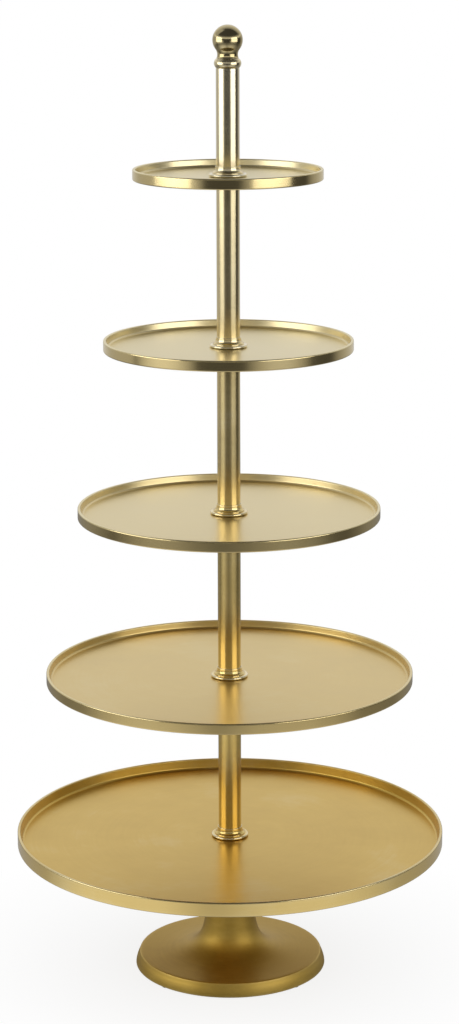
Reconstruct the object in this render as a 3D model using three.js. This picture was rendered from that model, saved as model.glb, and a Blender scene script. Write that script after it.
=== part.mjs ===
// A tiered etagere: round metal trays of falling diameter on one pole, over a hollow trumpet foot.
// The pole comes apart into screwed sections. Each section is a tube with a turned collar at its
// lower end and a threaded plug in its upper end. A stud in the collar passes through the hole of
// the tray under it and screws into the plug below, so collar and tube clamp the tray between them.
// The lowest stud passes through the foot as well, and a nut holds it from inside the foot.
// The finial knob has a stud of its own, which screws into the plug of the last tube.
// Millimetres, +Z up, front at -Y, origin on the floor under the middle of the foot.
import * as THREE from "three";

// Trays, from the lowest to the highest.
const trayDiameters = [600, 512, 419, 343, 259];
const tierPitch = 234; // from one tray's floor to the floor of the next
const lowestTrayFloor = 5;
const lowestTrayRim = 20;
const trayFloor = 4;
const trayRim = 15;
const trayWall = 4;
const trayLean = 9; // degrees that the wall's inner face leans out, so that the casting leaves its mould
const trayFillet = 3.5; // round between floor and wall, inside
const trayEdge = 1.5; // round under the rim, outside

// Pole.
const tubeDiameter = 32;
const tubeWall = 1.5;
const lastSection = 146; // from the highest tray's floor to the end of its tube
const plugLength = 18;

// Turned collar at the foot of each tube.
const flangeDiameter = 52;
const flangeThickness = 4;
const grooveWidth = 1;
const grooveDepth = 0.9;
const flareDiameter = 44;
const flareHeight = 9;
const collarLip = 0.8;
const collarWeb = 6; // solid under the tube's end, which holds the stud

// Studs, nut and washer.
const studDiameter = 10;
const studEngagement = 14; // length inside the part that it screws into
const nutAcrossFlats = 17;
const nutThickness = 8;
const washerDiameter = 30;
const washerThickness = 2;
const studEndPastNut = 2;

// Foot.
const footDiameter = 269;
const footHeight = 183;
const footWall = 4.5;
const footWeb = 9; // solid top that the tray rests on and the stud passes through
const bandHeight = 19; // the nearly upright rim
const bandTaper = 5.5; // how far the band leans in
const bandBulge = 1.2;
const bandRound = 2.5; // round at the band's upper edge
const bandFootRound = 1.5; // round at its lower edge
const restRingWidth = 15; // flat ring that carries the pads
const waistDiameter = 66;
const waistHeight = 112;
const seatDiameter = 84; // round seat under the lowest tray
const seatThickness = 5;

// Pads under the foot.
const padCount = 4;
const padDiameter = 11;
const padThickness = 1.2;

// Finial.
const capDiameter = 37;
const capEndDiameter = 32;
const capHeight = 12;
const ballDiameter = 41;
const ballSeatDiameter = 32; // where the neck meets the ball
const neckDiameter = 28; // at its narrowest
const neckBaseDiameter = 30.5;
const neckLength = 12;
const finialStudDiameter = 8;
const finialStudInPlug = 12;
const finialStudInKnob = 13;

// Clearances and facets.
const seatGap = 0.3; // between a piece and what it rests on
const radialGap = 0.3; // between a stud and its hole, a plug and its tube, a tube and its socket
const trayHoleGap = 0.6; // the tray's hole is drilled larger than the stud
const chordError = 0.6; // how far a facet may cut into the true round
const fewestSegments = 20;
const studSegments = 16;

// The sweep of the foot is two curves. Each handle is a share of the way along its curve's box:
// the first number goes from the outer end's radius to the inner end's, the second one upwards.
const dishHandleShares = [0.94, 0];
const riseHandleShares = [0.975, 0.16];
const seatHandleShares = [0.05, 0.45];
const seatInnerHandleShares = [0.25, 0.95];

const finishes = {
  trayMetal: { color: 0xc9ad6c, roughness: 0.34, metalness: 1 },
  poleMetal: { color: 0xd3b068, roughness: 0.16, metalness: 1 },
  footMetal: { color: 0xb4935a, roughness: 0.3, metalness: 1 },
  plainSteel: { color: 0x9a9a96, roughness: 0.45, metalness: 1 },
  padRubber: { color: 0x2c2a28, roughness: 0.85, metalness: 0 },
};

const etagere = new THREE.Group();

function addPiece(name, geometry, finish, place = [0, 0, 0]) {
  const piece = new THREE.Mesh(geometry, new THREE.MeshStandardMaterial(finishes[finish]));
  piece.name = name;
  piece.position.set(...place);
  etagere.add(piece);
}

// Facets round a circle: a multiple of four, so that a corner lies on each axis.
function segmentsFor(radius) {
  const halfAngle = Math.acos(1 - Math.min(chordError / radius, 1));
  return Math.max(fewestSegments, 4 * Math.ceil(Math.PI / halfAngle / 4));
}

const point = (radius, height) => new THREE.Vector2(radius, height);

// Points on an arc in the profile's plane, with angles in degrees from the outward direction.
function arc(radius, height, round, fromDegrees, toDegrees, steps) {
  return Array.from({ length: steps + 1 }, (_, i) => {
    const angle = THREE.MathUtils.degToRad(fromDegrees + ((toDegrees - fromDegrees) * i) / steps);
    return point(radius + round * Math.cos(angle), height + round * Math.sin(angle));
  });
}

// A solid turned about +Z. The profile runs anticlockwise: outwards below, up outside, back above.
function turned(profile, segments) {
  return new THREE.LatheGeometry(profile, segments).rotateX(Math.PI / 2);
}

// The same for a profile that goes round a bore and so closes on itself.
function turnedRing(profile, segments) {
  return turned([...profile, profile[0].clone()], segments);
}

function ring(innerRadius, outerRadius, height, segments) {
  const profile = [
    point(innerRadius, 0),
    point(outerRadius, 0),
    point(outerRadius, height),
    point(innerRadius, height),
  ];
  return turnedRing(profile, segments);
}

function rod(radius, height, segments) {
  const profile = [point(0, 0), point(radius, 0), point(radius, height), point(0, height)];
  return turned(profile, segments);
}

const studRadius = studDiameter / 2;
const studBore = studRadius + radialGap;
const tubeRadius = tubeDiameter / 2;
const plugRadius = tubeRadius - tubeWall - radialGap;

// Tray: flat floor, a round, a wall whose inner face leans out, and a full round along its top.
function trayGeometry(diameter, floor, rim) {
  const radius = diameter / 2;
  const lipRound = trayWall / 2;
  const fillet = Math.min(trayFillet, (rim - floor) / 2);
  const lean = THREE.MathUtils.degToRad(trayLean);
  const lip = arc(radius - lipRound, rim - lipRound, lipRound, 0, 180 - trayLean, 3);
  const wallTop = lip.at(-1);
  const wallDrop = wallTop.y - floor - fillet * (1 - Math.sin(lean));
  const filletCentre = wallTop.x - wallDrop * Math.tan(lean) - fillet * Math.cos(lean);
  const profile = [
    point(studRadius + trayHoleGap, 0),
    ...arc(radius - trayEdge, trayEdge, trayEdge, -90, 0, 2),
    ...lip,
    ...arc(filletCentre, floor + fillet, fillet, -trayLean, -90, 2),
    point(studRadius + trayHoleGap, floor),
  ];
  return turnedRing(profile, segmentsFor(radius));
}

// Collar: round-edged flange, a groove, then a concave flare that ends as a thin lip on the tube.
function collarGeometry() {
  const edge = flangeThickness / 2;
  const socketRadius = tubeRadius + radialGap;
  const flareRadius = flareDiameter / 2;
  const grooveTop = flangeThickness + grooveWidth;
  const flare = new THREE.QuadraticBezierCurve(
    point(flareRadius, grooveTop),
    point(socketRadius + collarLip, grooveTop),
    point(socketRadius + collarLip, grooveTop + flareHeight),
  );
  const profile = [
    point(studBore, 0),
    ...arc(flangeDiameter / 2 - edge, edge, edge, -90, 90, 3),
    point(flareRadius - grooveDepth, flangeThickness),
    point(flareRadius - grooveDepth, grooveTop),
    ...flare.getPoints(3),
    point(socketRadius, grooveTop + flareHeight),
    point(socketRadius, collarWeb),
    point(studBore, collarWeb),
  ];
  return turnedRing(profile, fewestSegments);
}

// Foot: one hollow casting. The outside is drawn, and the inside follows it a wall's thickness in.
const footRadius = footDiameter / 2;
const dishRadius = footRadius - bandTaper - bandRound;
const seatRadius = seatDiameter / 2;
const waistRadius = waistDiameter / 2;
const seatUnderside = footHeight - seatThickness;

function sweep(from, to, firstShares, secondShares) {
  const along = ([across, up]) =>
    point(from.x + (to.x - from.x) * across, from.y + (to.y - from.y) * up);
  return new THREE.CubicBezierCurve(from, along(firstShares), along(secondShares), to);
}

// Points on a curve moved square to it by a distance, towards its left side.
function offsetPoints(curve, distance, steps) {
  return Array.from({ length: steps + 1 }, (_, i) => {
    const along = curve.getTangent(i / steps);
    return curve.getPoint(i / steps).add(point(-along.y, along.x).multiplyScalar(distance));
  });
}

function footGeometry() {
  const dish = point(dishRadius, bandHeight);
  const waist = point(waistRadius, waistHeight);
  const rise = sweep(dish, waist, dishHandleShares, riseHandleShares);
  const flare = sweep(waist, point(seatRadius, seatUnderside), seatHandleShares, seatInnerHandleShares);
  const band = new THREE.QuadraticBezierCurve(
    point(footRadius, bandFootRound),
    point(footRadius - bandTaper / 2 + bandBulge, bandHeight / 2),
    point(footRadius - bandTaper, bandHeight - bandRound),
  );
  const webUnderside = footHeight - footWeb;
  const ringRadius = footRadius - restRingWidth;
  const inside = [...offsetPoints(rise, footWall, 7), ...offsetPoints(flare, footWall, 3).slice(1)]
    .filter((p) => p.y < webUnderside && p.x < ringRadius);
  const profile = [
    point(ringRadius, 0),
    ...arc(footRadius - bandFootRound, bandFootRound, bandFootRound, -90, 0, 2),
    ...band.getPoints(3).slice(1),
    ...arc(dishRadius, bandHeight - bandRound, bandRound, 0, 90, 3).slice(1),
    ...rise.getPoints(10).slice(1),
    ...flare.getPoints(4).slice(1),
    point(seatRadius, footHeight),
    point(studBore, footHeight),
    point(studBore, webUnderside),
    point(inside.at(-1).x, webUnderside),
    ...inside.toReversed(),
    point(ringRadius, inside[0].y),
  ];
  return turnedRing(profile, segmentsFor(footRadius));
}

function nutGeometry() {
  const corner = nutAcrossFlats / 2 / Math.cos(Math.PI / 6);
  const outline = new THREE.Shape(
    Array.from({ length: 6 }, (_, i) => {
      const angle = (i * Math.PI) / 3;
      return point(corner * Math.cos(angle), corner * Math.sin(angle));
    }),
  );
  outline.holes.push(new THREE.Path().absarc(0, 0, studBore, 0, 2 * Math.PI, true));
  return new THREE.ExtrudeGeometry(outline, {
    depth: nutThickness,
    bevelEnabled: false,
    curveSegments: studSegments,
  });
}

// Finial cap: a round-edged ring that closes the last tube's end.
const finialStudRadius = finialStudDiameter / 2;
const finialStudBore = finialStudRadius + radialGap;

function capGeometry() {
  const endRadius = capEndDiameter / 2;
  const bulge = capDiameter / 2 - endRadius;
  const round = (bulge ** 2 + (capHeight / 2) ** 2) / (2 * bulge);
  const halfAngle = THREE.MathUtils.radToDeg(Math.asin(capHeight / 2 / round));
  const profile = [
    point(finialStudBore, 0),
    ...arc(capDiameter / 2 - round, capHeight / 2, round, -halfAngle, halfAngle, 6),
    point(finialStudBore, capHeight),
  ];
  return turnedRing(profile, fewestSegments);
}

// Finial knob: a hollowed neck under a ball, with a blind hole for the stud.
const ballRadius = ballDiameter / 2;
const ballSeatRadius = ballSeatDiameter / 2;
const ballStartAngle = THREE.MathUtils.radToDeg(Math.acos(ballSeatRadius / ballRadius));
const ballCentre = neckLength + Math.sqrt(ballRadius ** 2 - ballSeatRadius ** 2);

function knobGeometry() {
  const baseRadius = neckBaseDiameter / 2;
  // Both handles have the radius that puts the curve's middle at the neck's narrowest radius.
  const handleRadius = (4 * neckDiameter - baseRadius - ballSeatRadius) / 6;
  const neck = new THREE.CubicBezierCurve(
    point(baseRadius, 0),
    point(handleRadius, neckLength / 3),
    point(handleRadius, (neckLength * 2) / 3),
    point(ballSeatRadius, neckLength),
  );
  const ball = arc(0, ballCentre, ballRadius, -ballStartAngle, 90, 12).slice(1);
  ball.at(-1).x = 0;
  const profile = [
    point(0, finialStudInKnob + radialGap),
    point(finialStudBore, finialStudInKnob + radialGap),
    point(finialStudBore, 0),
    ...neck.getPoints(5),
    ...ball,
  ];
  return turned(profile, segmentsFor(ballRadius));
}

// The foot, its pads, and the washer and nut inside it.
const footBase = padThickness + seatGap;
const footTop = footBase + footHeight;
const washerTop = footTop - footWeb - seatGap;
const nutTop = washerTop - washerThickness - seatGap;
addPiece("foot_casting", footGeometry(), "footMetal", [0, 0, footBase]);
for (let i = 0; i < padCount; i++) {
  const angle = ((i + 1 / 2) * 2 * Math.PI) / padCount;
  const padCircle = footRadius - restRingWidth / 2;
  const place = [padCircle * Math.cos(angle), padCircle * Math.sin(angle), 0];
  addPiece(`foot_pad_${i + 1}`, rod(padDiameter / 2, padThickness, studSegments), "padRubber", place);
}
const washer = ring(studBore, washerDiameter / 2, washerThickness, fewestSegments);
addPiece("foot_washer", washer, "plainSteel", [0, 0, washerTop - washerThickness]);
addPiece("foot_nut", nutGeometry(), "plainSteel", [0, 0, nutTop - nutThickness]);

// The tiers, from the lowest up. Tier 1 is the lowest.
const lastTier = trayDiameters.length;
let support = footTop;
let studBottom = nutTop - nutThickness - studEndPastNut;
let tubeTop = 0;
trayDiameters.forEach((diameter, i) => {
  const tier = i + 1;
  const floor = tier === 1 ? lowestTrayFloor : trayFloor;
  const rim = tier === 1 ? lowestTrayRim : trayRim;
  const trayBase = support + seatGap;
  const floorHeight = trayBase + floor;
  addPiece(`tier_${tier}_tray`, trayGeometry(diameter, floor, rim), "trayMetal", [0, 0, trayBase]);

  const collarBase = floorHeight + seatGap;
  const studTop = collarBase + collarWeb;
  addPiece(`tier_${tier}_collar`, collarGeometry(), "poleMetal", [0, 0, collarBase]);
  const stud = rod(studRadius, studTop - studBottom, studSegments);
  addPiece(`tier_${tier}_stud`, stud, "plainSteel", [0, 0, studBottom]);

  const tubeBase = studTop + seatGap;
  tubeTop = tier === lastTier
    ? floorHeight + lastSection
    : floorHeight + tierPitch - trayFloor - seatGap;
  const tube = ring(tubeRadius - tubeWall, tubeRadius, tubeTop - tubeBase, fewestSegments);
  addPiece(`tier_${tier}_tube`, tube, "poleMetal", [0, 0, tubeBase]);
  const plugBore = tier === lastTier ? finialStudBore : studBore;
  const plug = ring(plugBore, plugRadius, plugLength, fewestSegments);
  addPiece(`tier_${tier}_tube_plug`, plug, "plainSteel", [0, 0, tubeTop - plugLength]);

  support = tubeTop;
  studBottom = tubeTop - studEngagement;
});

// The finial: cap on the last tube, knob on the cap, and the stud that joins them to the plug.
const capBase = tubeTop + seatGap;
const knobBase = capBase + capHeight + seatGap;
const finialStudBottom = tubeTop - finialStudInPlug;
const finialStudLength = knobBase + finialStudInKnob - finialStudBottom;
addPiece("finial_cap", capGeometry(), "poleMetal", [0, 0, capBase]);
addPiece("finial_knob", knobGeometry(), "poleMetal", [0, 0, knobBase]);
const finialStud = rod(finialStudRadius, finialStudLength, studSegments);
addPiece("finial_stud", finialStud, "plainSteel", [0, 0, finialStudBottom]);

export default etagere;
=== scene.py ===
# %% [markdown]
# # A tiered etagere with a brass finish
#
# This notebook dresses the imported CAD model of a round display stand: five rimmed trays on a pole of
# screwed tubes, over a hollow trumpet foot, with a ball on top. Every visible piece is round about one
# axis, so nearly every shape here is a drawn outline, carried once round the pole.
#
# The frame is loaded first. It gives the size and the place of every CAD piece in metres, which the
# pieces below take over.

# %% Load the frame
import math

import bpy
import numpy as np
from mathutils import Euler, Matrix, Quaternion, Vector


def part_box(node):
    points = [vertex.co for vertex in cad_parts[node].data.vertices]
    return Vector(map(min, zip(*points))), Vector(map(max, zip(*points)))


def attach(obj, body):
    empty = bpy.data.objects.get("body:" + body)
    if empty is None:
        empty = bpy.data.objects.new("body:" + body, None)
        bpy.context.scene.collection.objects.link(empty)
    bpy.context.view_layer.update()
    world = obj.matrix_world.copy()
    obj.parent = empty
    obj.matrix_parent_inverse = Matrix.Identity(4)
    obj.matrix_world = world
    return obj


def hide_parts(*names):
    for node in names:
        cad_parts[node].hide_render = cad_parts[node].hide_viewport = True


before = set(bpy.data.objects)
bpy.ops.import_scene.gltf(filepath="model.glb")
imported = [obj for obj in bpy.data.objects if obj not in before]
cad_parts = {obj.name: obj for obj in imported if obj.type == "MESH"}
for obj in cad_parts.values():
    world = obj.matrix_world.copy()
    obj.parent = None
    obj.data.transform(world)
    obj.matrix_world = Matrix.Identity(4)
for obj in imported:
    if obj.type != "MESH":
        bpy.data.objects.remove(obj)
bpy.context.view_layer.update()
MM = 0.001
tier_count = sum(name.endswith("_tray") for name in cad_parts)
tiers = range(1, tier_count + 1)

# %% [markdown]
# ## The camera
#
# The photograph was taken from a little above the stand's top, almost four metres away, with a long
# lens. A camera set by eye would never quite meet the picture, so one was fitted to the outlines of the
# rims and of the foot, and these are its numbers. The picture lies lower than the lens's optical centre,
# which is what the small upright shift stands for.

# %% Camera
photo_height, focal_length, shift_across, shift_up = 1024, 2742.1, 0.85, -113.2
sensor_width = 36
camera_data = bpy.data.cameras.new("photo_camera")
camera = bpy.data.objects.new("photo_camera", camera_data)
bpy.context.scene.collection.objects.link(camera)
bpy.context.scene.camera = camera
pitch_down, roll = math.radians(10.92), math.radians(0.176)
camera_data.sensor_width = sensor_width
camera_data.lens = sensor_width * focal_length / photo_height
camera_data.shift_x = shift_across / photo_height
camera_data.shift_y = shift_up / photo_height
camera_data.clip_start, camera_data.clip_end = 0.05, 100
camera.location = (0, -3.6994, 1.5330)
camera.rotation_mode = "QUATERNION"
level = Euler((math.radians(90) - pitch_down, 0, 0)).to_quaternion()
camera.rotation_quaternion = level @ Quaternion((0, 0, 1), -roll)
print("camera lens in mm:", round(camera_data.lens, 2))

# %% [markdown]
# ## Outlines with rounded corners
#
# A turner draws a piece as half a section: straight lines and curves, with a small radius at each corner.
# `outline` does the same. It takes the corners in millimetres as rows of radius, height and corner round,
# and puts an arc of that round into each corner. No real edge is perfectly sharp, and it is the thin arc
# on an edge that catches the light. A Bevel modifier could round the edges too, but an arc in the
# outline keeps one size all the way and costs only a few rows.

# %% Outlines
def outline(corners, closed=True, steps=5):
    """Corners (radius, height, round) in mm become points in metres. With unit directions d0 into a corner
    and d1 out of it, and the turn between them, the arc starts round * tan(turn / 2) before the corner and
    its points are start + round * (sin a * d0 + (1 - cos a) * n0), n0 being d0 turned towards d1."""
    rows = np.asarray(corners, float)
    points, rounds = rows[:, :2] * MM, rows[:, 2] * MM
    before, after = points - np.roll(points, 1, 0), np.roll(points, -1, 0) - points
    for step in (before, after):
        step /= np.maximum(np.linalg.norm(step, axis=1), 1e-12)[:, None]
    cross = before[:, 0] * after[:, 1] - before[:, 1] * after[:, 0]
    turn = np.arctan2(cross, (before * after).sum(1))
    if not closed:
        turn[[0, -1]], rounds[[0, -1]] = 0, 0
    side = np.stack([-before[:, 1], before[:, 0]], 1) * np.sign(turn)[:, None]
    start = points - before * (rounds * np.tan(np.abs(turn) / 2))[:, None]
    angle = np.abs(turn)[:, None] * np.linspace(0, 1, steps + 1)[None, :]
    arcs = (start[:, None] + rounds[:, None, None]
            * (np.sin(angle)[..., None] * before[:, None] + (1 - np.cos(angle))[..., None] * side[:, None]))
    return without_doubles(arcs.reshape(-1, 2), closed)


def without_doubles(points, closed, smallest_gap=2e-6):
    """Drops each point that lies on the one before it."""
    gap = np.linalg.norm(points - np.roll(points, 1, 0), axis=1)
    keep = gap > smallest_gap
    if not closed:
        keep[0] = True
    return points[keep]


print("a square with 1 mm rounds has", len(outline([(0, 0, 1), (9, 0, 1), (9, 9, 1), (0, 9, 1)])), "points")

# %% [markdown]
# Some stretches of an outline are curves. A cubic curve bends smoothly between two ends, pulled by two
# handles, and an arc keeps one radius. Blender's curve objects could draw them, but points in an array
# join straight on to the other corners. A curve goes into an outline as many short stretches without
# rounds.

# %% Curves
def bezier(p0, p1, p2, p3, steps):
    """Points of a cubic curve: the four handles weighted by (1-t)^3, 3t(1-t)^2, 3t^2(1-t) and t^3."""
    t = np.linspace(0, 1, steps + 1)[:, None]
    a, b, c, d = (np.asarray(p, float)[None] for p in (p0, p1, p2, p3))
    return a * (1 - t) ** 3 + 3 * b * t * (1 - t) ** 2 + 3 * c * t ** 2 * (1 - t) + d * t ** 3


def arc_points(centre_radius, centre_height, round_radius, start, end, steps):
    """Points on a circle in the outline's plane, angles in degrees from the outward direction."""
    angle = np.radians(np.linspace(start, end, steps + 1))
    return np.stack([centre_radius + round_radius * np.cos(angle),
                     centre_height + round_radius * np.sin(angle)], 1)


def as_corners(points):
    """Points of a curve as corners of an outline, with no round of their own."""
    return [(r, z, 0) for r, z in points]


print("a quarter circle in 6 steps has", len(arc_points(0, 0, 1, 0, 90, 6)), "points")

# %% [markdown]
# Smooth shading blends the light between neighbouring points. On a long flat face next to a small round
# this would smear the round's shading over the whole face. Weighted normals are one cure. A pair of guard
# points, close to both ends of each long stretch, is another: it keeps the face flat in between, and it
# lasts in any program that the mesh is later opened in.

# %% Guard points
def refined(points, closed, longest=0.012, guard=0.0004):
    """Splits long straight stretches: a point close to each end, and points no further apart than longest
    in between. A stretch shorter than three guards is left whole, which is how a curve drawn as many short
    stretches stays a curve."""
    ends = np.roll(points, -1, 0) if closed else points[1:]
    starts = points if closed else points[:-1]
    length = np.linalg.norm(ends - starts, axis=1)
    shares = stretch_shares(length, longest, guard)
    stretches = []
    for i, share in enumerate(shares):
        whole = length[i] < 3 * guard
        stretches.append(starts[i][None] if whole else starts[i] + (ends[i] - starts[i]) * share[:, None])
    out = np.concatenate(stretches)
    return out if closed else np.concatenate([out, points[-1:]])


def stretch_shares(lengths, longest, guard):
    """For each length, the shares along it at which points go: 0, the guard, even steps, the guard."""
    for length in lengths:
        near = guard / max(length, guard * 3)
        steps = max(1, math.ceil(length / longest))
        yield np.concatenate([[0], np.linspace(near, 1 - near, steps + 1)])


print("a 20 mm stretch is split at", next(stretch_shares([0.02], 0.012, 0.0004)))

# %% [markdown]
# ## From an outline to a surface
#
# The surface has two parameters: the place along the outline and the angle round the pole. A Screw
# modifier or the Spin tool would do the same, but worked out as arrays it can also write down numbers at
# each point, which the materials read later:
#
# - `edge` says how sharply the outline bends there: above 0 on outer edges, which wear bright, and below
#   0 in corners, which the materials darken with painted shade.
# - `upright` is 1 on an outer wall, -1 on a wall that faces the pole and 0 on a level face. Each of them
#   is polished in another way.
# - The paleness number is one number for the whole piece. It is painted light: pieces higher up are
#   painted paler.

# %% How sharply an outline bends
def bend_of(points, closed, reach=0.0012):
    """Signed bend of the outline: turn at each point over the length around it, times reach, then averaged
    with its neighbours by distance, as a bell curve of width reach."""
    before, after = points - np.roll(points, 1, 0), np.roll(points, -1, 0) - points
    turn = np.arctan2(before[:, 0] * after[:, 1] - before[:, 1] * after[:, 0], (before * after).sum(1))
    step = (np.linalg.norm(before, axis=1) + np.linalg.norm(after, axis=1)) / 2
    if not closed:
        turn[[0, -1]] = 0
    apart = np.linalg.norm(points[:, None] - points[None], axis=2)
    bell = np.exp(-((apart / reach) ** 2))
    return (bell @ turn) / np.maximum(bell @ step, 1e-9) * reach


def upright_of(grid):
    """How steep the outline runs at each point of the grid: its rise over its length between the
    neighbouring rows."""
    run = np.roll(grid, -1, 0) - np.roll(grid, 1, 0)
    return (run[..., 2] / np.maximum(np.linalg.norm(run, axis=2), 1e-9)).reshape(-1)


print("a 1 mm step up bends by", np.round(bend_of(np.array([(0, 0), (1, 0), (1, 1), (2, 1)]) * MM, False), 2))

# %% [markdown]
# The mesh is put together from whole arrays: the grid's points row by row, four-cornered faces between
# neighbouring rows and columns, and, where an outline starts or ends on the axis, a fan of triangles that
# closes the surface there. Adding the faces one by one would give the same mesh, only far more slowly.

# %% Faces of a grid
def faces_of(rows, columns, wrap_rows):
    """Corner numbers of the four-cornered faces, each between row i and i + 1 and column j and j + 1."""
    index = np.arange(rows * columns).reshape(rows, columns)
    low = index if wrap_rows else index[:-1]
    high = np.roll(index, -1, 0) if wrap_rows else index[1:]
    return index, np.stack([low, np.roll(low, -1, 1), np.roll(high, -1, 1), high], -1).reshape(-1, 4)


print("four rows of six points make", len(faces_of(4, 6, False)[1]), "faces")

# %% A piece from arrays
def piece_from_arrays(name, points, loops, sizes, numbers):
    """A smooth-shaded object from its points, its faces' corners in a row, each face's count of corners,
    and one number per point for each attribute."""
    mesh = bpy.data.meshes.new(name)
    mesh.vertices.add(len(points))
    mesh.vertices.foreach_set("co", points.astype(np.float32).reshape(-1))
    mesh.loops.add(len(loops))
    mesh.loops.foreach_set("vertex_index", loops.astype(np.int32))
    mesh.polygons.add(len(sizes))
    mesh.polygons.foreach_set("loop_start", np.concatenate([[0], np.cumsum(sizes)[:-1]]).astype(np.int32))
    mesh.update(calc_edges=True)
    mesh.validate()
    for key, values in numbers.items():
        mesh.attributes.new(key, "FLOAT", "POINT").data.foreach_set("value", values.astype(np.float32))
    mesh.shade_smooth()
    piece = bpy.data.objects.new(name, mesh)
    bpy.context.scene.collection.objects.link(piece)
    return piece


print("kinds of number at each point: edge, upright, plating")

# %% From a grid of points to a piece
NO_PAINTED_PALENESS = 0.5


def mesh_from_grid(name, grid, edge, wrap_rows, painted_paleness=NO_PAINTED_PALENESS):
    """A piece from a grid of points, rows along the outline and columns round the axis. Columns always join
    up. Rows join up if wrap_rows, otherwise each end row is drawn together to the mean of its points."""
    rows, columns = grid.shape[:2]
    index, quads = faces_of(rows, columns, wrap_rows)
    points, upright = grid.reshape(-1, 3), upright_of(grid)
    edges = np.broadcast_to(edge.reshape(rows, -1), (rows, columns)).reshape(-1)
    loops, sizes = quads.reshape(-1), np.full(len(quads), 4)
    if not wrap_rows:
        first_tip, last_tip = len(points), len(points) + 1
        first = np.stack([np.roll(index[0], -1), index[0], np.full(columns, first_tip)], -1)
        last = np.stack([index[-1], np.roll(index[-1], -1), np.full(columns, last_tip)], -1)
        points = np.concatenate([points, [grid[0].mean(0), grid[-1].mean(0)]])
        edges = np.concatenate([edges, [edges[0], edges[-1]]])
        upright = np.concatenate([upright, [0, 0]])
        loops = np.concatenate([loops, first.reshape(-1), last.reshape(-1)])
        sizes = np.concatenate([sizes, np.full(2 * columns, 3)])
    numbers = {"edge": edges, "upright": upright, "painted_paleness": np.full(len(points), painted_paleness)}
    return piece_from_arrays(name, points, loops, sizes, numbers)


print("the plating number of a plain piece:", NO_PAINTED_PALENESS)

# %% Turning an outline
ON_THE_AXIS = 1e-5


def around_axis(radii, angle, heights):
    """The points at radius r, angle a and height z: (r cos a, r sin a, z)."""
    x, y = radii * np.cos(angle), radii * np.sin(angle)
    return np.stack([x, y, np.broadcast_to(heights, x.shape)], -1)


def turned(name, points, closed=True, columns=160, longest=0.012, guard=0.0004, painted_paleness=NO_PAINTED_PALENESS,
           centre=(0.0, 0.0)):
    """A surface turned about an upright axis through centre (cx, cy): a point of the outline at radius r and
    height z becomes a ring of points (cx + r cos a, cy + r sin a, z). An open outline starts and ends on
    the axis, and its first and last rings close in one point there."""
    rows = refined(points, closed, longest, guard)
    edge = bend_of(rows, closed)
    if not closed:
        rows[[0, -1], 0] = ON_THE_AXIS
    angle = np.linspace(0, 2 * np.pi, columns, endpoint=False)
    grid = around_axis(rows[:, :1], angle, rows[:, 1:]) + (centre[0], centre[1], 0)
    return mesh_from_grid(name, grid, edge, closed, painted_paleness)


print("a point at radius 1, a quarter turn round:", np.round(around_axis(np.ones(1), np.pi / 2, 0)[0], 3))

# %% Taking the place of a CAD node
pieces = {}


def stands_for(piece, cad_node, material, body="stand"):
    """Puts the finished piece in the place of its CAD node and notes what it is made of."""
    piece.data.materials.append(material)
    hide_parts(cad_node)
    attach(piece, body)
    pieces[piece.name] = len(piece.data.polygons)
    return piece


def heights_of(cad_node):
    """The CAD node's lowest and highest level and its largest radius about the pole, in mm."""
    low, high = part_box(cad_node)
    return low.z / MM, high.z / MM, high.x / MM


print("the lowest tray's underside, top and radius in mm:", np.round(heights_of("tier_1_tray"), 2))

# %% [markdown]
# ## Shared effects on the metal
#
# Turned and polished metal shows three things close up: fine marks that run round the axis, a
# slight cloudiness of colour and gloss, and edges that wear brighter. A fourth effect is painted shade,
# which darkens the corners. Each of them is a node group, so every metal below uses the same effect with
# its own numbers. A painted texture would show the same, but it would be lost on a copy of another size.

# %% One node
def node(tree, kind, inputs=(), **settings):
    """A node with its settings and inputs. The kind goes without the ShaderNode that all their types begin
    with. An input is a socket to link from, or a plain value."""
    made = tree.nodes.new("ShaderNode" + kind)
    for key, value in settings.items():
        setattr(made, key, value)
    for key, value in dict(inputs).items():
        if isinstance(value, bpy.types.NodeSocket):
            tree.links.new(value, made.inputs[key])
        else:
            made.inputs[key].default_value = value
    return made


print("a node is one call now")

# %% Sums on numbers
def math_node(operation, *values, clamp=False):
    """One sum on numbers, in the tree of the first socket among them. MULTIPLY_ADD is the first times the
    second, plus the third."""
    tree = next(value.id_data for value in values if isinstance(value, bpy.types.NodeSocket))
    return node(tree, "Math", enumerate(values), operation=operation, use_clamp=clamp).outputs[0]


def plus(first, second):
    """The sum of two numbers."""
    return math_node("ADD", first, second)


def times(first, second):
    """The product of two numbers."""
    return math_node("MULTIPLY", first, second)


def larger(first, second):
    """The larger of two numbers."""
    return math_node("MAXIMUM", first, second)


def spread(value, low, high, to_low=0.0, to_high=1.0):
    """Stretches low..high to to_low..to_high, without going past either end."""
    return node(value.id_data, "MapRange", {0: value, 1: low, 2: high, 3: to_low, 4: to_high},
                clamp=True).outputs[0]


def noise(place, scale, detail, roughness):
    """Soft random spots between 0 and 1, scale of them per unit of place, with detail finer layers."""
    return node(place.id_data, "TexNoise", {"Vector": place, "Scale": scale, "Detail": detail,
                                            "Roughness": roughness}).outputs["Fac"]


print("sums and noise are ready")

# %% New groups
def new_group(name, inputs, outputs):
    """An empty group with its named inputs, each with a start value, and its named number outputs."""
    tree = bpy.data.node_groups.new(name, "ShaderNodeTree")
    for key, value in inputs.items():
        kind = "NodeSocketVector" if value is None else "NodeSocketFloat"
        made = tree.interface.new_socket(name=key, in_out="INPUT", socket_type=kind)
        if value is not None:
            made.default_value = value
    for key in outputs:
        tree.interface.new_socket(name=key, in_out="OUTPUT", socket_type="NodeSocketFloat")
    return tree, tree.nodes.new("NodeGroupInput").outputs, tree.nodes.new("NodeGroupOutput").inputs


print("groups can be made")

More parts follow.
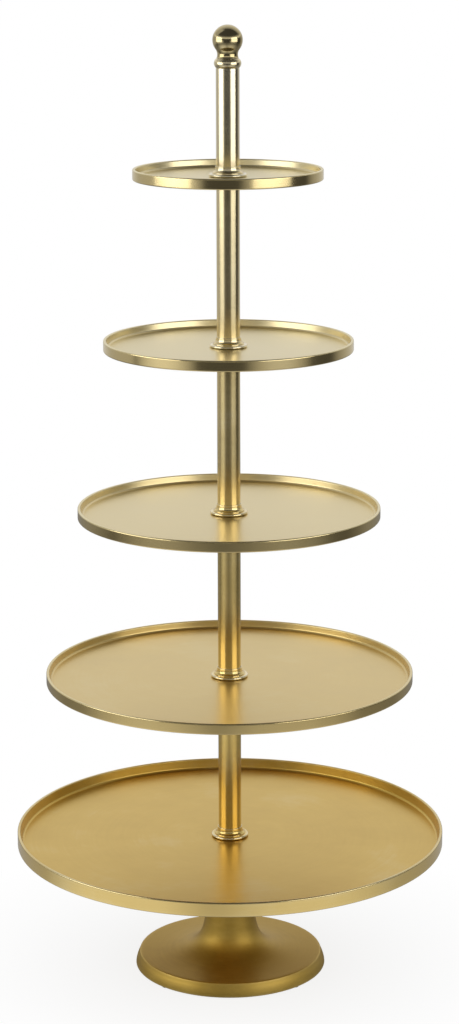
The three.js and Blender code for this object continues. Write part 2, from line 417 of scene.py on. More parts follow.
# %% [markdown]
# The marks of turning are noise that changes fast along the outline and slowly round the axis. Radius
# plus height changes along level and upright stretches alike, so it serves as the place along the
# outline. It stands still only where a face slopes inwards at 45 degrees, and no piece has a long stretch
# of that. Round the axis the noise reads the direction x / radius, y / radius, which leaves no seam after
# a full turn.

# %% Group: marks left by turning
marks_group, given, result = new_group(
    "turning marks", {"Position": None, "Marks per Metre": 900.0, "Breaks Round the Axis": 3.0},
    ["Height", "Streaks"])
x_place, y_place, z_place = node(marks_group, "SeparateXYZ", {0: given["Position"]}).outputs
radius = math_node("SQRT", plus(times(x_place, x_place), times(y_place, y_place)))
nearest_to_axis, coarser = 0.0005, 0.12
safe_radius = larger(radius, nearest_to_axis)
round_x, round_y = (times(math_node("DIVIDE", part, safe_radius), given["Breaks Round the Axis"])
                    for part in (x_place, y_place))
along = times(plus(radius, z_place), given["Marks per Metre"])
coarse_along = times(along, coarser)
fine_place, coarse_place = (
    node(marks_group, "CombineXYZ", {0: first, 1: round_x, 2: round_y}).outputs[0]
    for first in (along, coarse_along))
fine = noise(fine_place, scale=1.0, detail=3.0, roughness=0.6)
coarse = noise(coarse_place, scale=1.0, detail=4.0, roughness=0.55)
marks_group.links.new(spread(fine, 0.25, 0.75), result["Height"])
marks_group.links.new(spread(coarse, 0.3, 0.7), result["Streaks"])
print("marks group:", len(marks_group.nodes), "nodes")

# %% [markdown]
# Clouds are wide soft noise, and specks are the tips of a much finer one. Both start from one size in
# metres. Edges are brightened where `edge` is positive, and unevenly, because wear is never even.
# Corners, where `edge` is negative, are darkened with painted shade.

# %% Group: cloudiness of a plated and lacquered surface
cloud_group, given, result = new_group(
    "clouds in the finish", {"Position": None, "Size": 0.05}, ["Clouds", "Specks"])
specks_per_cloud = 22.0
clouds_per_metre = math_node("DIVIDE", 1.0, given["Size"])
big = noise(given["Position"], clouds_per_metre, detail=5.0, roughness=0.6)
small = noise(given["Position"], times(clouds_per_metre, specks_per_cloud), detail=3.0, roughness=0.7)
cloud_group.links.new(spread(big, 0.32, 0.68), result["Clouds"])
cloud_group.links.new(spread(small, 0.58, 0.74), result["Specks"])
print("cloud group:", len(cloud_group.nodes), "nodes")

# %% Group: bright edges and painted shade in corners
edge_group, given, result = new_group(
    "edges and corners", {"Edge": 0.0, "Clouds": 0.5}, ["Bright Edge", "Painted Corner Shade"])
more_wear_in_clouds, least_wear = 0.7, 0.55
uneven = math_node("MULTIPLY_ADD", given["Clouds"], more_wear_in_clouds, least_wear)
bright = spread(times(given["Edge"], uneven), 0.05, 0.6)
# Painted shade: the colour goes darker in corners, where the outline bends inwards.
dark = spread(times(given["Edge"], -1.0), 0.05, 0.55)
edge_group.links.new(bright, result["Bright Edge"])
edge_group.links.new(dark, result["Painted Corner Shade"])
print("node groups:", [tree.name for tree in bpy.data.node_groups])

# %% [markdown]
# ## The metals
#
# All the metals are one recipe with other numbers: a Principled shader with Metallic at 1, whose colour
# runs between a dark and a light tone of the same metal. The trays and the foot are cast, turned smooth
# and plated in a brass colour, with a satin gloss. The ball is polished like a mirror. The tubes and
# collars are in between: a fine turned grain draws out what they mirror, up and down, and the shader's
# anisotropy does that without modelling a single scratch.
#
# Three things change the tone over a piece: clouds and streaks, the paleness number, which is painted
# light that makes pieces higher up paler, from nothing at 0.5 to the full light tone at 1, and the outer
# walls, which go part of the way to the light tone.

# %% Colours
def linear(colour):
    """sRGB numbers 0 to 255 as linear light: ((c + 0.055) / 1.055) ^ 2.4, or c / 12.92 near black."""
    c = np.asarray(colour, float) / 255
    return tuple(np.where(c <= 0.04045, c / 12.92, ((c + 0.055) / 1.055) ** 2.4)) + (1.0,)


def blend(factor, first, second):
    """A mix of two colours: first at factor 0, second at factor 1."""
    tree = factor.id_data
    made = tree.nodes.new("ShaderNodeMix")
    made.data_type = "RGBA"
    for key, value in (("Factor_Float", factor), ("A_Color", first), ("B_Color", second)):
        slot_in = next(s for s in made.inputs if s.identifier == key)
        if isinstance(value, bpy.types.NodeSocket):
            tree.links.new(value, slot_in)
        else:
            slot_in.default_value = value
    return next(s for s in made.outputs if s.identifier == "Result_Color")


print("middle grey in linear light:", round(float(linear((128, 128, 128))[0]), 3))

# %% What a metal reads
def number_on(tree, name):
    """The number that the mesh carries at each point under this name."""
    return node(tree, "Attribute", attribute_name=name).outputs["Fac"]


def placed_effects(tree, marks, breaks, cloud_size):
    """The three shared groups in a material: their outputs, with the position that they read."""
    position = node(tree, "TexCoord").outputs["Object"]
    lines = node(tree, "Group", {"Position": position, "Marks per Metre": marks,
                                 "Breaks Round the Axis": breaks}, node_tree=marks_group).outputs
    haze = node(tree, "Group", {"Position": position, "Size": cloud_size}, node_tree=cloud_group).outputs
    wear = node(tree, "Group", {"Edge": number_on(tree, "edge"), "Clouds": haze["Clouds"]},
                node_tree=edge_group).outputs
    return position, lines, haze, wear


print("groups for every metal:", marks_group.name, cloud_group.name, edge_group.name)

# %% Colour of a metal
def metal_colour(tree, tones, tone, walls, wear, corner_shade_share):
    """The colour: dark to body tone by the clouds and streaks, then towards the light tone by the paleness
    number, which is painted light that makes pieces higher up paler, and on outer walls, then darker in
    corners by painted shade and lighter on worn edges. walls holds the mask of outer walls, how far they go
    to the light tone, and the share of the paleness number that reaches them."""
    body_tone, dark_tone, light_tone = (linear(colour) for colour in tones)
    outer_wall, wall_light, wall_paleness_share = walls
    palest_spots, edge_share = 0.2, 0.7
    # Painted light: the paleness number makes pieces higher up paler.
    painted_paleness = spread(number_on(tree, "painted_paleness"), NO_PAINTED_PALENESS, 1.0)
    painted_pale_share = times(painted_paleness, spread(outer_wall, 0.0, 1.0, to_low=1.0, to_high=wall_paleness_share))
    paleness = math_node("MULTIPLY_ADD", outer_wall, wall_light, painted_pale_share, clamp=True)
    half_dark = blend(spread(tone, 0.1, 0.6), dark_tone, body_tone)
    piece_tone = blend(paleness, half_dark, light_tone)
    ground = blend(spread(tone, 0.6, 1.0, to_high=palest_spots), piece_tone, light_tone)
    # Painted shade darkens the corners.
    corner_shaded = blend(times(wear["Painted Corner Shade"], corner_shade_share), ground, dark_tone)
    return blend(times(wear["Bright Edge"], edge_share), corner_shaded, light_tone)


print("a colour takes three tones: body, dark and light")

# %% Gloss and relief of a metal
def metal_gloss(level, wall_step, tone, wear, spread_of_roughness):
    """The roughness: the level faces' mean, plus the walls' step, plus and minus the spread by the clouds
    and streaks, and less on edges."""
    step = spread(tone, 0.15, 0.85, to_low=-spread_of_roughness, to_high=spread_of_roughness)
    gloss = plus(math_node("MULTIPLY_ADD", *wall_step, level), step)
    return math_node("SUBTRACT", gloss, times(wear["Bright Edge"], spread_of_roughness))


def metal_relief(tree, position, wave, heights):
    """The normal: shallow waves left by casting and polishing, and then each finer height on top of them.
    wave is a size and a depth, and heights are pairs of a height and a depth, all in metres."""
    wave_size, wave_depth = wave
    heights = [(noise(position, 1 / wave_size, detail=1.5, roughness=0.45), wave_depth), *heights]
    normal = None
    for height, depth in heights:
        inputs = {"Height": height, "Distance": depth, "Strength": 1.0}
        if normal is not None:
            inputs["Normal"] = normal
        normal = node(tree, "Bump", inputs).outputs[0]
    return normal


print("gloss and relief are ready")

# %% Metal recipe
def new_material(name):
    """A material with an empty tree of nodes."""
    made = bpy.data.materials.new(name)
    made.use_nodes = True
    made.node_tree.nodes.clear()
    return made, made.node_tree


def metal(name, tones, roughness, spread_of_roughness, marks, breaks, mark_depth, cloud_size, wave,
          speck_depth=0.0, wall_roughness=None, inner_roughness=None, wall_light=0.0, wall_paleness_share=1.0,
          streak_share=0.3, corner_shade_share=0.6, turned_grain=0.0):
    """The metal recipe. tones are the body, dark and light colour as sRGB numbers, and lengths are in
    metres. roughness is the mean on level faces, wall_roughness on outer walls and inner_roughness on walls
    that face the pole. Streaks and clouds move all three, the streaks by streak_share. wall_light is how
    far outer walls go to the light tone, and the share after it how much of the paleness number, which is
    painted light, reaches them. The corner share is how far corners go to the dark tone as painted shade.
    turned_grain stretches reflections square to the turning marks."""
    made, tree = new_material(name)
    position, lines, haze, wear = placed_effects(tree, marks, breaks, cloud_size)
    tone = plus(times(haze["Clouds"], 1 - streak_share), times(lines["Streaks"], streak_share))
    upright = number_on(tree, "upright")
    wall = spread(math_node("ABSOLUTE", upright), 0.5, 0.95)
    outer_wall = times(wall, spread(upright, -0.1, 0.1))
    colour = metal_colour(tree, tones, tone, (outer_wall, wall_light, wall_paleness_share), wear, corner_shade_share)

    outer_gloss = roughness if wall_roughness is None else wall_roughness
    inner_gloss = outer_gloss if inner_roughness is None else inner_roughness
    facing = spread(upright, -0.1, 0.1, to_low=inner_gloss - roughness, to_high=outer_gloss - roughness)
    gloss = metal_gloss(roughness, (wall, facing), tone, wear, spread_of_roughness)

    heights = [(lines["Height"], mark_depth)]
    if speck_depth:
        heights.append((haze["Specks"], speck_depth))
    normal = metal_relief(tree, position, wave, heights)
    shader = node(tree, "BsdfPrincipled",
                  {"Base Color": colour, "Roughness": gloss, "Normal": normal, "Metallic": 1.0,
                   "Anisotropic": turned_grain, "Anisotropic Rotation": 0.25 if turned_grain else 0.0})
    node(tree, "OutputMaterial", {"Surface": shader.outputs[0]})
    return made


print("recipe is ready")

# %% The five metals
tray_metal = metal("tray_metal", ((215, 180, 86), (207, 171, 76), (238, 226, 184)), roughness=0.30,
                   spread_of_roughness=0.015, marks=2600, breaks=1.6, mark_depth=0.000003, cloud_size=0.12,
                   wave=(0.05, 0.00015), wall_roughness=0.17, inner_roughness=0.3, wall_light=0.3,
                   wall_paleness_share=0.3, streak_share=0.2, corner_shade_share=0.15)
fine_work = {"spread_of_roughness": 0.02, "marks": 2600, "breaks": 1.5, "mark_depth": 0.000002,
             "cloud_size": 0.05, "wave": (0.03, 0.00006)}
pole_metal = metal("pole_metal", ((232, 205, 130), (222, 193, 114), (246, 240, 216)), roughness=0.18,
                   turned_grain=0.93, **fine_work)
ball_metal = metal("ball_metal", ((204, 188, 142), (182, 165, 116), (230, 222, 194)), roughness=0.13,
                   **fine_work)
foot_metal = metal("foot_metal", ((202, 170, 86), (188, 155, 72), (222, 196, 124)), roughness=0.46,
                   spread_of_roughness=0.03, marks=1800, breaks=2.0, mark_depth=0.000005, cloud_size=0.1,
                   wave=(0.05, 0.00015), wall_roughness=0.48)
plain_steel = metal("plain_steel", ((150, 150, 146), (104, 102, 98), (196, 196, 192)), roughness=0.38,
                    spread_of_roughness=0.08, marks=3000, breaks=6, mark_depth=0.00001, cloud_size=0.012,
                    wave=(0.01, 0.00002), speck_depth=0.00001)
print("metals:", [made.name for made in (tray_metal, pole_metal, ball_metal, foot_metal, plain_steel)])

# %% [markdown]
# Rubber is the only material here that isn't metal: nearly black, dull, with a fine grain from its mould
# and a little dust that greys it. Both come from the cloud group, at the scale of a small pad.

# %% Rubber
pad_rubber, rubber_tree = new_material("pad_rubber")
rubber_place = node(rubber_tree, "TexCoord").outputs["Object"]
rubber_haze = node(rubber_tree, "Group", {"Position": rubber_place, "Size": 0.006},
                   node_tree=cloud_group).outputs
clean_rubber, dusty_rubber = (38, 36, 34), (66, 62, 58)
rubber_colour = blend(rubber_haze["Clouds"], linear(clean_rubber), linear(dusty_rubber))
rubber_grain = node(rubber_tree, "Bump", {"Height": rubber_haze["Specks"], "Distance": 0.00004,
                                          "Strength": 0.8}).outputs[0]
rubber_gloss = spread(rubber_haze["Clouds"], 0, 1, to_low=0.7, to_high=0.92)
rubber_shader = node(rubber_tree, "BsdfPrincipled",
                     {"Base Color": rubber_colour, "Roughness": rubber_gloss, "Normal": rubber_grain})
node(rubber_tree, "OutputMaterial", {"Surface": rubber_shader.outputs[0]})
print("rubber is ready")

# %% [markdown]
# ## The trays
#
# Each tray is a round casting, turned on both sides: a flat floor, a small fillet, and a short upright rim
# whose top is a full round. The outline starts at the hole, goes out underneath, up the rim, over its
# round and back along the floor. The inner face of the rim leans out a little, as a casting's does, so
# that it comes out of its mould. A bent sheet with a Solidify modifier would be quicker, but it couldn't
# have such a rim. In the photograph each tray is paler than the one below it, and a list of paleness
# numbers puts that in as painted light: each tray higher up is painted paler.

# %% Trays
rest_gap = 0.3
# Painted light: each tray higher up is painted paler.
tray_painted_paleness = [0.52, 0.68, 0.85, 0.92, 0.95]


def tray_outline(radius, base, floor, top, wall=4.0, lean=9.0, hole=5.6, fillet=3.5):
    """Outline in mm of a rimmed disc: hole, underside, rim, floor. The inner face of the rim leans out by
    lean degrees, so its foot lies (top - floor) * tan(lean) further in than its top."""
    foot_in = (top - floor) * math.tan(math.radians(lean))
    return outline([
        (hole, base, 0.3), (radius, base, 1.5), (radius, top, wall / 2 - 0.05),
        (radius - wall, top, wall / 2 - 0.1), (radius - wall - foot_in, floor, fillet), (hole, floor, 0.3)],
        steps=8)


for tier in tiers:
    base, top, radius = heights_of(f"tier_{tier}_tray")
    floor_level = heights_of(f"tier_{tier}_collar")[0] - rest_gap
    tray = turned(f"tray_{tier}", tray_outline(radius, base, floor_level, top), columns=288,
                  painted_paleness=tray_painted_paleness[tier - 1])
    stands_for(tray, f"tier_{tier}_tray", tray_metal)
    print(tray.name, "radius in mm", round(radius, 1), "faces", pieces[tray.name])

# %% [markdown]
# ## Tubes, collars and what is inside
#
# A tube is a thin ring of metal. A collar is turned from bar: a flange with a round edge, a groove cut
# beside it, and a hollow flare up to a thin lip, which the tube stands in. The lip, the groove and the
# flange edge are what the light draws as fine bright and dark lines at the foot of each tube, so they are
# in the outline and not only in the relief of a material. Inside the upper end of each tube sits a
# threaded plug. Here too the pieces higher up are painted paler, as painted light.

# %% Outlines of collars and rings
BORE_FOR_M10, BORE_FOR_M8 = 5.3, 4.3


def collar_outline(base, top):
    """Outline in mm of the turned collar, from its hole round the flange, groove, flare and lip."""
    flange, flange_edge, flare_foot, flare_handle, lip = 26.0, 1.9, 22, 18.4, 17.1
    groove_floor, groove_foot, groove_top = 21.1, base + 4.0, base + 5.0
    socket, socket_floor = 16.3, base + 6
    flare = bezier((flare_foot, groove_top), (flare_handle, groove_top + 0.6),
                   (lip, top - 5.5), (lip, top - 0.5), 14)
    return outline([
        (BORE_FOR_M10, base, 0.2), (flange, base, flange_edge), (flange, groove_foot, flange_edge),
        (groove_floor, groove_foot, 0.25), (groove_floor, groove_top, 0.25), (flare_foot, groove_top, 0.2),
        *as_corners(flare[1:]), (lip, top, 0.3), (socket, top, 0.2), (socket, socket_floor, 0.3),
        (BORE_FOR_M10, socket_floor, 0.2)])


def ring_outline(inner, outer, base, top, edge=0.25):
    """Outline in mm of a plain ring with slightly broken edges."""
    corners = [(inner, base), (outer, base), (outer, top), (inner, top)]
    return outline([(*corner, edge) for corner in corners], steps=3)


print("a collar's outline has", len(collar_outline(0, 20)), "points")

# %% Tubes, collars and plugs
tube_wall = 1.5
# Painted light: the tubes and collars higher up are painted paler.
pole_painted_paleness = [0.5, 0.54, 0.62, 0.73, 0.83]
for tier in tiers:
    base, top, _ = heights_of(f"tier_{tier}_collar")
    collar = turned(f"collar_{tier}", collar_outline(base, top), columns=128, painted_paleness=pole_painted_paleness[tier - 1])
    stands_for(collar, f"tier_{tier}_collar", pole_metal)
    base, top, outer = heights_of(f"tier_{tier}_tube")
    tube = turned(f"tube_{tier}", ring_outline(outer - tube_wall, outer, base, top), columns=96,
                  painted_paleness=pole_painted_paleness[tier - 1])
    stands_for(tube, f"tier_{tier}_tube", pole_metal)
    base, top, outer = heights_of(f"tier_{tier}_tube_plug")
    bore = BORE_FOR_M8 if tier == tier_count else BORE_FOR_M10
    plug = turned(f"plug_{tier}", ring_outline(bore, outer, base, top, 0.5), columns=64)
    stands_for(plug, f"tier_{tier}_tube_plug", plain_steel)
print("pole pieces:", sum(name.startswith(("collar", "tube", "plug")) for name in pieces))

# %% [markdown]
# ## Screw threads
#
# A thread is a ridge that climbs by one pitch in each turn. As a surface it needs no spiral path: at each
# angle and height, the radius depends only on how far the nearest ridge is. The ends are cut to a cone,
# as a real stud's are, so that it starts easily in its nut.

# %% Studs
def threaded(name, radius, low, high, pitch, columns=36, rows_per_turn=10):
    """A threaded rod, lengths in mm. The share of a pitch is height / pitch - angle / full turn. The radius
    falls from the crest by the thread's depth times a flattened triangle wave of that share, and never
    passes a 45 degree cone at either end."""
    depth, flank, crest, cone_depth = 0.6 * pitch, 1.3, 0.15, 1.3
    height = np.linspace(low, high, int((high - low) / pitch * rows_per_turn))[:, None]
    angle = np.linspace(0, 2 * np.pi, columns, endpoint=False)[None]
    share = np.mod(height / pitch - angle / (2 * np.pi), 1.0)
    ridge = np.clip(np.abs(share - 0.5) * 2 * flank - crest, 0, 1)
    cone = radius - cone_depth * depth + np.minimum(height - low, high - height)
    reach = np.minimum(radius - depth * ridge, cone)
    grid = around_axis(reach, angle, height) * MM
    return mesh_from_grid(name, grid, (0.5 - ridge) * 0.5, False)


M10_PITCH, M8_PITCH = 1.5, 1.25
for tier in tiers:
    base, top, radius = heights_of(f"tier_{tier}_stud")
    stud = threaded(f"stud_{tier}", radius, base, top, M10_PITCH)
    stands_for(stud, f"tier_{tier}_stud", plain_steel)
base, top, radius = heights_of("finial_stud")
top_stud = threaded("knob_stud", radius, base, top, M8_PITCH)
stands_for(top_stud, "finial_stud", plain_steel, body="finial_stud")
print("faces in the longest stud:", max(pieces[name] for name in pieces if "stud" in name))

# %% [markdown]
# ## The foot
#
# The foot is one hollow casting, a trumpet upside down. Outside it goes up a nearly upright band, over a
# round, in along a flat dish and up a long sweep to a waist, then out again to the seat under the lowest
# tray. The sweep is two cubic curves, as in the CAD source. Inside, a second line follows it one wall's
# thickness in, up to a flat web that carries the lowest stud. A Solidify modifier could give the wall, but
# not the web and the flat ring that the foot stands on, so both lines are drawn.

# %% The foot's sweep
foot_base, foot_top, foot_radius = heights_of("foot_casting")
band_top, dish_radius, foot_wall = foot_base + 19.0, foot_radius - 8.0, 4.5
waist, waist_height, seat, seat_foot = 33.0, foot_base + 112.0, 42.0, foot_top - 5.0
web_foot, ring_radius = foot_top - 9.0, foot_radius - 15.0


def sweep(start, end, shares, steps):
    """A cubic curve whose two middle handles are given as shares of the way from start to end."""
    start, end = np.asarray(start, float), np.asarray(end, float)
    middle = [start + (end - start) * np.asarray(share) for share in shares]
    return bezier(start, *middle, end, steps)


def offset_line(points, distance):
    """The line moved square to itself by distance: each point along its left-hand normal."""
    along = np.gradient(points, axis=0)
    along /= np.linalg.norm(along, axis=1)[:, None]
    return points + np.stack([-along[:, 1], along[:, 0]], 1) * distance


dish = sweep((dish_radius, band_top), (waist, waist_height), ((0.94, 0), (0.975, 0.16)), 60)
flare = sweep((waist, waist_height), (seat, seat_foot), ((0.05, 0.45), (0.25, 0.95)), 24)
inner = np.concatenate([offset_line(dish, foot_wall), offset_line(flare, foot_wall)[1:]])
inner = inner[(inner[:, 1] < web_foot - 0.5) & (inner[:, 0] < ring_radius - 0.5)][::-1]
print("points outside and inside:", len(dish) + len(flare), len(inner))

# %% [markdown]
# The band leans in over its height and is slightly crowned, which a curve with four handles gives. The
# outline then runs round the section: ring, band, dish, flare, seat, bore, web, and down the inside. Its
# guard points lie further from the corners than elsewhere, so that its short stretches stay whole.

# %% Foot
band = bezier((foot_radius, foot_base + 1.5), (foot_radius - 1.1, foot_base + 7),
              (foot_radius - 2.6, foot_base + 12), (foot_radius - 5.5, band_top - 2.5), 8)
foot_points = outline(
    [(ring_radius, foot_base, 0.5), (foot_radius, foot_base, 1.2), *as_corners(band[1:-1]),
     (foot_radius - 5.9, band_top, 2.3), *as_corners(dish[1:]), *as_corners(flare[1:-1]),
     (seat, seat_foot, 0.6), (seat, foot_top, 0.6), (BORE_FOR_M10, foot_top, 0.3),
     (BORE_FOR_M10, web_foot, 0.3), (inner[0, 0], web_foot, 1.5), *as_corners(inner[1:-1]),
     (ring_radius, inner[-1, 1], 1.5)])
foot = turned("foot", foot_points, columns=256, longest=0.006, guard=0.002)
stands_for(foot, "foot_casting", foot_metal)
print("foot radius and height in mm:", round(foot_radius, 1), round(foot_top - foot_base, 1), pieces["foot"])

# %% [markdown]
# Under the foot sit four rubber pads, each turned about its own axis, and inside it a washer and a nut
# hold the lowest stud. The nut is a hexagon whose corners are cut by a cone above and below, which gives
# the curved lines on its flats. Boolean cuts could make it, but they leave long thin faces that shade
# badly, and here the cut is one term of a formula.

# %% Pads and washer
for number in range(1, 5):
    low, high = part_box(f"foot_pad_{number}")
    base, top, radius = low.z / MM, high.z / MM, (high.x - low.x) / 2 / MM
    pad_points = outline([(0, base, 0), (radius, base, 0.3), (radius, top, 0.3), (0, top, 0)], False)
    pad = turned(f"pad_{number}", pad_points, closed=False, columns=40, centre=(low + high) / 2)
    stands_for(pad, f"foot_pad_{number}", pad_rubber)
base, top, outer = heights_of("foot_washer")
washer = turned("washer", ring_outline(BORE_FOR_M10, outer, base, top, 0.3), columns=72)
stands_for(washer, "foot_washer", plain_steel)
print("pads and washer:", [name for name in pieces if name.startswith(("pad", "washer"))])

# %% Nut
def with_guards(rings, share=0.02):
    """Each ring three times: a share of the way to the ring before it, in its place, and a share of the way
    to the ring after it."""
    before, after = np.roll(rings, 1, 0) - rings, np.roll(rings, -1, 0) - rings
    return np.stack([rings + before * share, rings, rings + after * share], 1).reshape(-1, rings.shape[1])


def nut_surface(name, low, high, flats, bore, columns=120):
    """A hexagon nut in mm. At each angle the side lies at flats / 2 / cos(angle from the flat's middle), and
    a 30 degree cone cuts it above and below, so the cut runs deeper at the corners."""
    face_share, mouth_width, cone = 0.97, 0.6, math.radians(30)
    angle = np.linspace(0, 2 * np.pi, columns, endpoint=False)
    side = flats / 2 / np.cos(np.mod(angle + np.pi / 6, np.pi / 3) - np.pi / 6)
    face, level = np.full(columns, flats / 2 * face_share), np.ones(columns)
    cut = (side - face) * math.tan(cone)
    hole, mouth = np.full(columns, bore), np.full(columns, bore + mouth_width)
    radii = np.stack([hole, mouth, face, side, side, face, mouth, hole])
    heights = np.stack([(low + mouth_width) * level, low * level, low * level, low + cut, high - cut,
                        high * level, high * level, (high - mouth_width) * level])
    radii, heights = with_guards(radii), with_guards(heights)
    grid = around_axis(radii, angle, heights) * MM
    edge = np.repeat([0.2, 0.3, 0.5, 0.8, 0.8, 0.5, 0.3, 0.2], 3)
    return mesh_from_grid(name, grid, edge, True)


base, top, _ = heights_of("foot_nut")
nut = nut_surface("nut", base, top, flats=17.0, bore=BORE_FOR_M10)
stands_for(nut, "foot_nut", plain_steel)
print("faces in the nut:", pieces["nut"])

# %% [markdown]
# ## The finial
#
# A barrel-shaped ring closes the last tube. The knob above it is a hollowed neck under a ball. The ball
# is an arc of a circle in the outline and not a sphere of its own, so that it meets the neck in a small
# groove without a hidden seam.

# %% Cap
cap_low, cap_high, cap_radius = heights_of("finial_cap")
# Painted light: the cap is painted pale, like the upper tubes.
cap_end, cap_painted_paleness = 16.0, 0.76
half_height, bulge = (cap_high - cap_low) / 2, cap_radius - cap_end
barrel_round = (bulge ** 2 + half_height ** 2) / (2 * bulge)
barrel_angle = math.degrees(math.asin(half_height / barrel_round))
barrel = arc_points(cap_radius - barrel_round, (cap_low + cap_high) / 2, barrel_round,
                    -barrel_angle, barrel_angle, 24)
cap_points = outline([(BORE_FOR_M8, cap_low, 0.2), (*barrel[0], 0.4), *as_corners(barrel[1:-1]),
                      (*barrel[-1], 0.4), (BORE_FOR_M8, cap_high, 0.2)])
cap = turned("cap", cap_points, columns=128, painted_paleness=cap_painted_paleness)
stands_for(cap, "finial_cap", pole_metal)
print("the barrel's round in mm:", round(barrel_round, 1))

# %% [markdown]
# The neck is a cubic curve whose two handles share one radius. At its middle such a curve stands at
# (foot + 6 * handle + top) / 8, so the handle follows from the radius that the waist should have.

# %% Knob
knob_low, knob_top, _ = heights_of("finial_knob")
ball_round, neck_foot, neck_waist, neck_end, hole_depth = 20.5, 15.25, 14.0, 16.0, 13.3
neck_top, ball_centre = knob_low + 12.0, knob_top - ball_round
ball_start = -math.degrees(math.asin((ball_centre - neck_top) / ball_round))
neck_handle = (8 * neck_waist - neck_foot - neck_end) / 6
neck = bezier((neck_foot, knob_low), (neck_handle, knob_low + 4), (neck_handle, knob_low + 8),
              (neck_end, neck_top), 20)
ball = arc_points(0, ball_centre, ball_round, ball_start, 90, 72)
knob_points = outline([(0, knob_low + hole_depth, 0), (BORE_FOR_M8, knob_low + hole_depth, 0.2),
                       (BORE_FOR_M8, knob_low, 0.3), (*neck[0], 0.4), *as_corners(neck[1:-1]),
                       (*neck[-1], 0.3), *as_corners(ball[1:-1]), (0, knob_top, 0)], closed=False)
knob = turned("knob", knob_points, closed=False, columns=128)
stands_for(knob, "finial_knob", ball_metal, body="finial_knob")
print("ball centre in mm:", round(ball_centre, 2), "faces:", pieces["knob"])

# %% [markdown]
# ## The studio
#
# Polished metal has hardly any look of its own: it shows the room. The photograph's reflections tell how
# it was lit: a wide soft box on the left, a narrower one to the right of the camera, a white sheet behind
# and under the stand, and a dark room behind the camera, which is the dark line down each tube. A picture
# of a studio wrapped round the scene would do too, but two lamps and a few nodes can be set one by one.

# %% Soft boxes
def soft_box(name, azimuth, width, power, height=1.28, centre_height=1.48, distance=2.5):
    """An area lamp facing the stand. Azimuth is in degrees from the camera's side, positive to its right."""
    lamp = bpy.data.lights.new(name, "AREA")
    lamp.shape, lamp.size, lamp.size_y, lamp.energy = "RECTANGLE", width, height, power
    holder = bpy.data.objects.new(name, lamp)
    bpy.context.scene.collection.objects.link(holder)
    turn = math.radians(azimuth)
    holder.location = (distance * math.sin(turn), -distance * math.cos(turn), centre_height)
    holder.rotation_euler = Euler((math.radians(90), 0, turn))
    holder.visible_camera = False
    return holder


left_box = soft_box("left_soft_box", azimuth=-70, width=2.4, power=19.6)
right_box = soft_box("right_soft_box", azimuth=54, width=2.33, power=17.6)
print("lamps:", left_box.name, right_box.name)

# %% [markdown]
# The world answers three kinds of ray. A ray from the camera finds plain white, which is the picture's
# background. A diffuse ray finds one even grey, so a dull surface is lit evenly. Any other ray, which is
# what metal mirrors, finds the room. Its light depends on the ray's direction x, y, z: x to the right, y
# to the back and z up.
#
# The room has a white sheet behind, brightest straight behind the stand, a weaker wall on the left, a
# patch of light under each soft box, and a dark front. One pale band in the front, a little above the
# horizon, is what makes the pole's reflection on the trays' floors bright.

# %% Directions in the room
def towards(across, deep, azimuth, start):
    """How far a direction points to an azimuth: 0 while the cosine between them is under start, rising to
    1 straight at it."""
    turn = math.radians(azimuth)
    cosine = plus(times(across, math.sin(turn)), times(deep, -math.cos(turn)))
    return spread(cosine, start, 1.0)


world = bpy.data.worlds.new("studio")
bpy.context.scene.world = world
world.use_nodes = True
sky = world.node_tree
sky.nodes.clear()
direction = node(sky, "TexCoord").outputs["Generated"]
across, deep, rise = node(sky, "SeparateXYZ", {0: direction}).outputs
sheet_reach_upwards = 0.25
back = math_node("MULTIPLY_ADD", larger(rise, 0.0), sheet_reach_upwards, deep)
print("directions are ready")

# %% The room that the metal mirrors
sheet_step, sheet_at_horizon, left_wall_light, right_share = 0.41, 0.76, 0.47, 0.68
over_band, darkest_front, brightest_front = 0.4, 0.06, 0.9
sheet_light = plus(spread(back, 0.26, 0.5, to_high=sheet_step), spread(back, 0.5, 0.94, to_high=sheet_step))
sheet_light = times(sheet_light, spread(rise, 0.02, 0.22, to_low=sheet_at_horizon))
left_wall = times(spread(across, -0.5, -0.2, to_low=1.0, to_high=0.0),
                  spread(back, 0.0, 0.15, to_high=left_wall_light))
under_left = towards(across, deep, azimuth=-62, start=0.8)
under_right = times(towards(across, deep, azimuth=48, start=0.8), right_share)
under_boxes = times(larger(under_left, under_right), spread(rise, -0.08, 0.0, to_low=1.0, to_high=0.0))
pale_band = times(spread(rise, 0.15, 0.24), spread(rise, 0.29, 0.36, to_low=1.0, to_high=over_band))
pale_band = times(pale_band, spread(rise, 0.36, 0.5, to_low=1.0, to_high=0.0))
front_wall = spread(pale_band, 0.0, 1.0, to_low=darkest_front, to_high=brightest_front)
room = larger(larger(sheet_light, left_wall), larger(under_boxes, front_wall))
print("the room has", len(sky.nodes), "nodes")

# %% World: what each kind of ray finds
def either_of(factor, first, second):
    """The first shader where the factor is 0, and the second where it is 1."""
    return node(factor.id_data, "MixShader", {0: factor, 1: first.outputs[0], 2: second.outputs[0]})


WHITE = (1, 1, 1, 1)
even_grey = 0.7
rays = node(sky, "LightPath").outputs
other_rays = math_node("SUBTRACT", 1.0, rays["Is Diffuse Ray"])
light = math_node("MULTIPLY_ADD", rays["Is Diffuse Ray"], even_grey, times(other_rays, room))
studio_light = node(sky, "Background", {"Color": WHITE, "Strength": light})
plain_white = node(sky, "Background", {"Color": WHITE, "Strength": 1.0})
found = either_of(rays["Is Camera Ray"], studio_light, plain_white)
node(sky, "OutputWorld", {"Surface": found.outputs[0]})
print("world is ready")

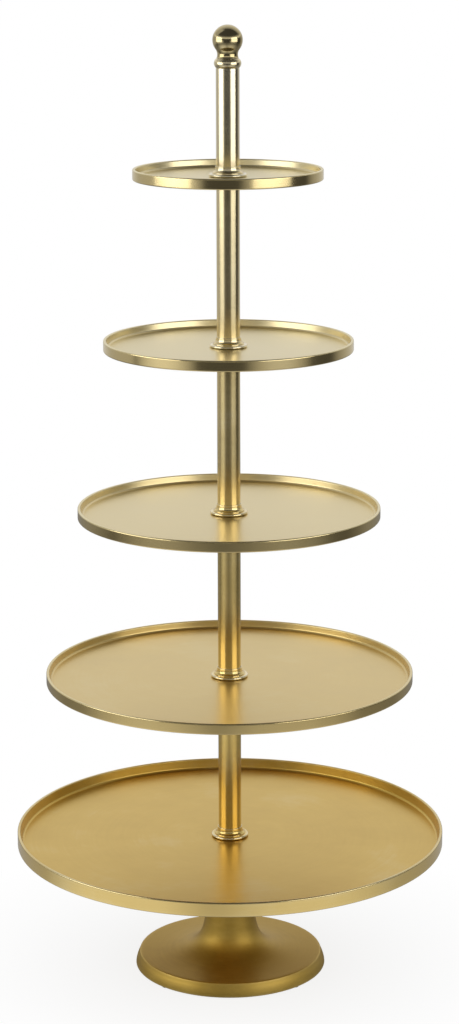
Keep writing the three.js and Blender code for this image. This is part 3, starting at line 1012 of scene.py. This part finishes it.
# %% [markdown]
# To the camera the floor is white paper: near the foot it is partly a diffuse surface, which keeps a
# little of the stand's shadow, and further out it is plain white. To all other rays it is a light whose
# strength changes with the place, because the lower half of every tube and rim mirrors it: dim in the
# stand's own shade, brighter to both sides, under the soft boxes, weaker further to the front, and gone
# after four metres.
# A floor that was plain white to the metal too would light every tube and rim evenly from below.

# %% Floor
floor_half = 9.0
floor_mesh = bpy.data.meshes.new("floor")
floor_corners = [(x * floor_half, y * floor_half, 0) for x, y in ((-1, -1), (1, -1), (1, 1), (-1, 1))]
floor_mesh.from_pydata(floor_corners, [], [(0, 1, 2, 3)])
floor = bpy.data.objects.new("floor", floor_mesh)
bpy.context.scene.collection.objects.link(floor)
paper, sheet = new_material("floor_paper")
floor_mesh.materials.append(paper)
print("floor width in metres:", 2 * floor_half)

# %% Light on the floor, as the metal mirrors it
floor_place = node(sheet, "TexCoord").outputs["Object"]
away = node(sheet, "VectorMath", {0: floor_place}, operation="LENGTH").outputs["Value"]
floor_unit = node(sheet, "VectorMath", {0: floor_place}, operation="NORMALIZE").outputs["Vector"]
floor_across, floor_deep, _ = node(sheet, "SeparateXYZ", {0: floor_unit}).outputs
right_floor_share, sides_share = 0.7, 0.5
beside_left = towards(floor_across, floor_deep, azimuth=-52, start=0.74)
beside_right = times(towards(floor_across, floor_deep, azimuth=40, start=0.74), right_floor_share)
towards_front = towards(floor_across, floor_deep, azimuth=-8, start=-0.5)
in_front = spread(towards_front, 0.0, 1.0, to_low=0.3, to_high=0.55)
round_light = plus(in_front, times(plus(beside_left, beside_right), sides_share))
far = spread(away, 0.75, 1.1)
near_light = spread(round_light, 0.3, 0.9, to_low=0.45)
evened = plus(times(round_light, far), times(math_node("SUBTRACT", 1.0, far), near_light))
own_shade = spread(away, 0.2, 0.6, to_low=0.36, to_high=0.92)
behind = spread(floor_deep, 0.1, 0.6, to_low=0.3, to_high=0.9)
falling_off = larger(spread(away, 0.9, 2.4, to_low=1.0, to_high=0.3), behind)
floor_light = times(times(own_shade, falling_off), evened)
print("the floor's light has", len(sheet.nodes), "nodes")

# %% Floor: what each kind of ray finds
room_floor = node(sheet, "Emission", {"Color": WHITE, "Strength": floor_light})
nothing = node(sheet, "BsdfTransparent")
where_it_is_gone = spread(away, 3.4, 4.2)
mirrored_floor = either_of(where_it_is_gone, room_floor, nothing)
PAPER = (0.95, 0.95, 0.95, 1)
white_paper = node(sheet, "BsdfDiffuse", {"Color": PAPER})
pure_white = node(sheet, "Emission", {"Color": WHITE, "Strength": 1.0})
out_of_the_shadow = spread(away, 0.12, 0.5, to_low=0.82)
seen_floor = either_of(out_of_the_shadow, white_paper, pure_white)
floor_rays = node(sheet, "LightPath").outputs
floor_mix = either_of(floor_rays["Is Camera Ray"], mirrored_floor, seen_floor)
node(sheet, "OutputMaterial", {"Surface": floor_mix.outputs[0]})
print("floor is ready")

# %% [markdown]
# ## Colour
#
# The Standard view keeps each colour as it is worked out.

# %% Finish
bpy.context.scene.view_settings.view_transform = "Standard"
print("pieces:", len(pieces), "faces:", sum(pieces.values()))
